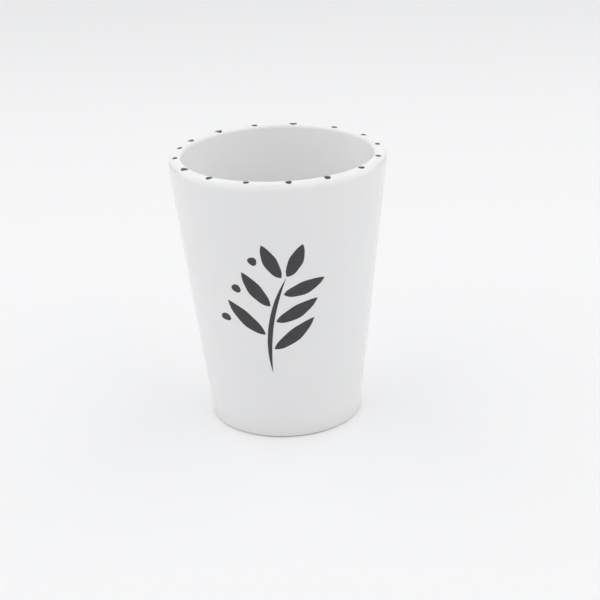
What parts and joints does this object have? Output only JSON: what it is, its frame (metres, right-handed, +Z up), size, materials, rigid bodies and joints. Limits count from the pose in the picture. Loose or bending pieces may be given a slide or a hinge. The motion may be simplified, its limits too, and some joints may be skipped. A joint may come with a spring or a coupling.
{
  "type": "ceramic shot cup",
  "caption": "Small handleless ceramic shot cup: straight tapered wall, rounded lip with painted dots, a brushed leafy sprig on the front and a bare clay foot ring.",
  "frame": {"origin": "middle of the foot ring, on the table", "axes": "+Z up along the cup's axis, -Y towards the painted front"},
  "size_m": [0.047, 0.047, 0.0603],
  "materials": {
    "clay": "bare fired clay, matt and slightly rough",
    "glaze": "white glossy glaze",
    "paint": "charcoal enamel, satin"
  },
  "bodies": {
    "root": {"clay_body": "clay", "wall_glaze": "glaze", "base_glaze": "glaze", "rim_dot_01": "paint", "rim_dot_02": "paint", "rim_dot_03": "paint", "rim_dot_04": "paint", "rim_dot_05": "paint", "rim_dot_06": "paint", "rim_dot_07": "paint", "rim_dot_08": "paint", "rim_dot_09": "paint", "rim_dot_10": "paint", "rim_dot_11": "paint", "rim_dot_12": "paint", "rim_dot_13": "paint", "rim_dot_14": "paint", "rim_dot_15": "paint", "rim_dot_16": "paint", "sprig_stem": "paint", "sprig_tip_leaf": "paint", "sprig_leaf_1": "paint", "sprig_leaf_2": "paint", "sprig_leaf_3": "paint", "sprig_leaf_4": "paint", "sprig_leaf_5": "paint", "sprig_leaf_6": "paint", "sprig_berry_1": "paint", "sprig_berry_2": "paint", "sprig_berry_3": "paint"}
  },
  "joints": []
}
